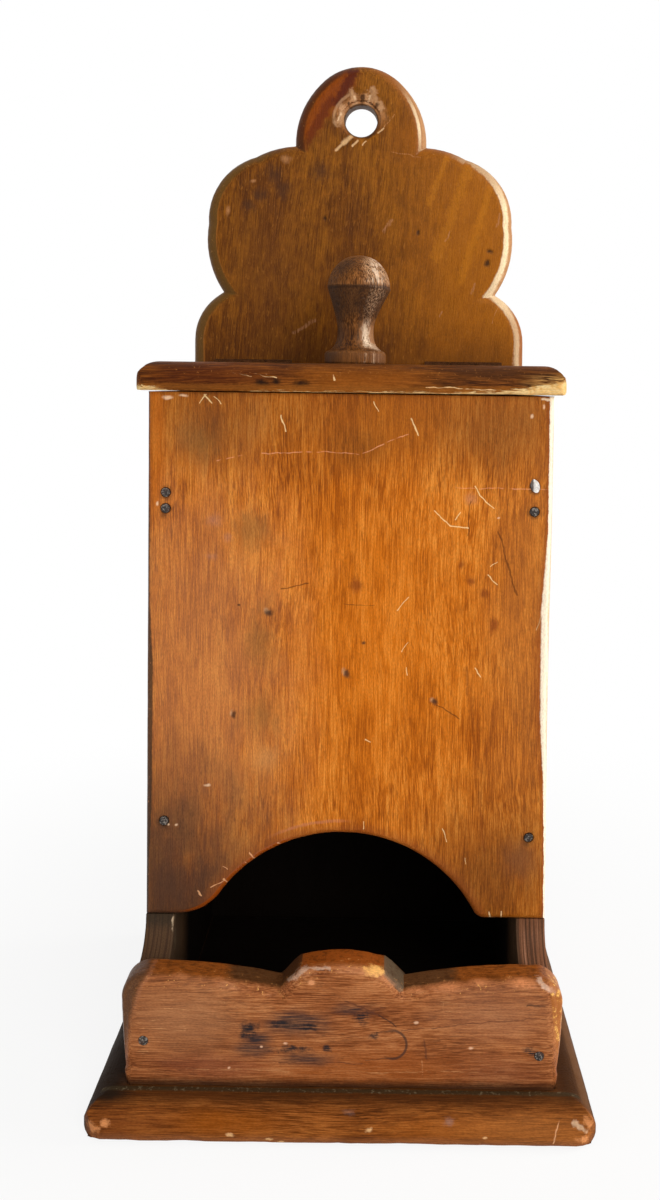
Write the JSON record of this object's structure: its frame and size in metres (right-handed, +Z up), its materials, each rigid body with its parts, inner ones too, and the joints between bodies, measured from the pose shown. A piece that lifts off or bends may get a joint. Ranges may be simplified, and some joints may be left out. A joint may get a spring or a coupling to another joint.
{
  "type": "salt box",
  "caption": "Wooden wall salt box: lobed back board with a hanging hole, hinged lid with a turned knob, arched mouth over an open trough and a spreading base.",
  "frame": {"origin": "underside of the base, in the middle of its width and depth", "axes": "+Z up, +Y towards the wall, -Y the front with the arch and the trough, +X to the right seen from the front"},
  "size_m": [0.196, 0.156, 0.445],
  "materials": {
    "back_wood": "oiled and varnished, worn at the edges",
    "panel_wood": "oiled and varnished, worn at the edges",
    "side_wood": "oiled and varnished, worn at the edges",
    "trough_wood": "oiled and varnished, worn at the edges",
    "base_wood": "oiled and varnished, worn at the edges",
    "lid_wood": "oiled and varnished, worn at the edges",
    "knob_wood": "turned, worn bare on top",
    "hinge_iron": "dark, lightly rusted",
    "nail_iron": "dark, flush heads"
  },
  "bodies": {
    "box": {"back_board": "back_wood", "left_side": "side_wood", "right_side": "side_wood", "front_panel": "panel_wood", "trough_front": "trough_wood", "base_board": "base_wood", "left_hinge_back_leaf": "hinge_iron", "right_hinge_back_leaf": "hinge_iron", "left_hinge_pin": "hinge_iron", "right_hinge_pin": "hinge_iron", "left_back_leaf_screws": "hinge_iron", "right_back_leaf_screws": "hinge_iron", "panel_nails": "nail_iron", "trough_nails": "nail_iron", "back_nails": "nail_iron", "base_nails": "nail_iron"},
    "lid": {"lid": "lid_wood", "knob": "knob_wood", "left_hinge_lid_leaf": "hinge_iron", "right_hinge_lid_leaf": "hinge_iron", "left_lid_leaf_screws": "hinge_iron", "right_lid_leaf_screws": "hinge_iron"}
  },
  "joints": [
    {"name": "lid_hinge", "type": "hinge", "parent": "box", "child": "lid", "pos_m": [0, 0.0635, 0.2965], "axis": [-1, 0, 0], "range_deg": [0, 45]}
  ]
}
